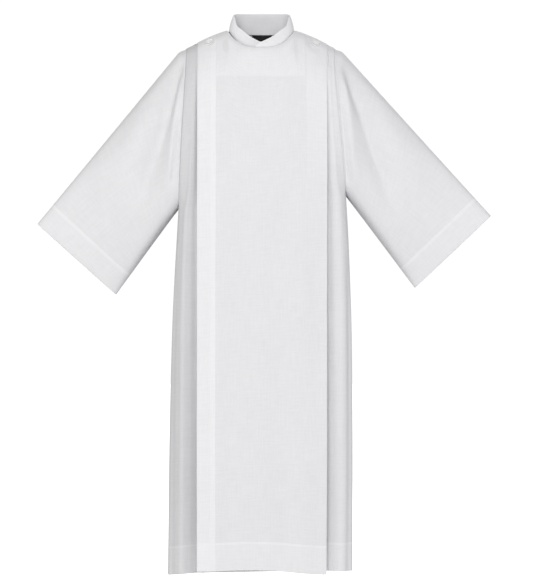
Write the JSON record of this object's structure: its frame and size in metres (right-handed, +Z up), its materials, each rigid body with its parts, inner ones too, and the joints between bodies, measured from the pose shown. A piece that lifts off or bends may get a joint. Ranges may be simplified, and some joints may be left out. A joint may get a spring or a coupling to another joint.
{
  "type": "alb robe",
  "caption": "Full-length white robe with wide set-in sleeves, a crossing stand collar, a wrap-over front buttoned at the shoulders and deep turned-up hems, filled out as worn.",
  "frame": {"origin": "midway between the shoulders, inside the neck, at the height where the shoulder seams meet the collar", "axes": "+X to the wearer's left, -Y to the front, +Z up"},
  "size_m": [1.24, 0.3018, 1.5269],
  "materials": {
    "alb_cloth": "light white cloth in plain weave with fine slubs, ironed smooth, slightly see-through",
    "label_cloth": "dark plain woven ribbon",
    "button": "white sew-on button with a low rim"
  },
  "bodies": {
    "root": {"over_front": "alb_cloth", "front_band": "alb_cloth", "front_pleat": "alb_cloth", "front_facing": "alb_cloth", "over_front_hem": "alb_cloth", "under_front": "alb_cloth", "under_front_hem": "alb_cloth", "side_front": "alb_cloth", "side_front_hem": "alb_cloth", "back": "alb_cloth", "back_hem": "alb_cloth", "sleeve_right": "alb_cloth", "sleeve_right_hem": "alb_cloth", "sleeve_left": "alb_cloth", "sleeve_left_hem": "alb_cloth", "collar": "alb_cloth", "neck_label": "label_cloth", "button_right": "button", "button_left": "button"}
  },
  "joints": []
}
